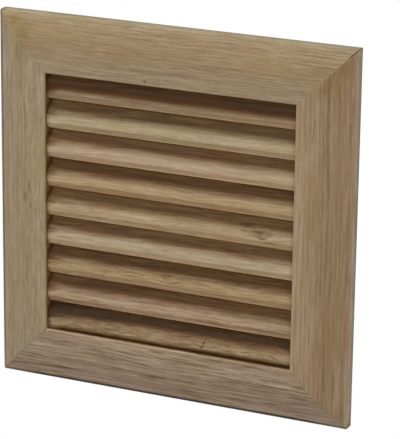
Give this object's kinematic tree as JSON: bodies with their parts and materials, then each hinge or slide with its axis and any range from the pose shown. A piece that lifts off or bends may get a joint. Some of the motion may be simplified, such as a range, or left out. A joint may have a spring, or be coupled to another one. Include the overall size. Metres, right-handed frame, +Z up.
{
  "type": "wooden air vent grille",
  "caption": "Square wooden air vent grille: a mitred, bevelled oak frame with fixed sloping louvre slats that covers a duct opening in a wall.",
  "frame": {"origin": "middle of the bottom rail's flat back face, which lies on the wall", "axes": "X to the right across the grille seen from the room, +Y from the room into the wall, +Z up"},
  "size_m": [0.195, 0.0112, 0.195],
  "materials": {
    "oak_top_rail": "bare sanded oak, wavy grain along the rail",
    "oak_bottom_rail": "bare sanded oak, fine straight grain along the rail",
    "oak_left_stile": "bare sanded oak, pale, straight upright grain",
    "oak_right_stile": "bare sanded oak, warm brown, straight upright grain",
    "oak_slat_01": "bare sanded oak, medium brown",
    "oak_slat_02": "bare sanded oak, light olive yellow",
    "oak_slat_03": "bare sanded oak, pinkish light brown",
    "oak_slat_04": "bare sanded oak, golden brown",
    "oak_slat_05": "bare sanded oak, olive yellow with a dark figure",
    "oak_slat_06": "bare sanded oak, light greenish tan",
    "oak_slat_07": "bare sanded oak, golden brown with a small knot",
    "oak_slat_08": "bare sanded oak, pinkish brown",
    "oak_slat_09": "bare sanded oak, dark brown with wild grain"
  },
  "bodies": {
    "root": {"frame_top_rail": "oak_top_rail", "frame_bottom_rail": "oak_bottom_rail", "frame_left_stile": "oak_left_stile", "frame_right_stile": "oak_right_stile", "slat_01": "oak_slat_01", "slat_02": "oak_slat_02", "slat_03": "oak_slat_03", "slat_04": "oak_slat_04", "slat_05": "oak_slat_05", "slat_06": "oak_slat_06", "slat_07": "oak_slat_07", "slat_08": "oak_slat_08", "slat_09": "oak_slat_09"}
  },
  "joints": []
}
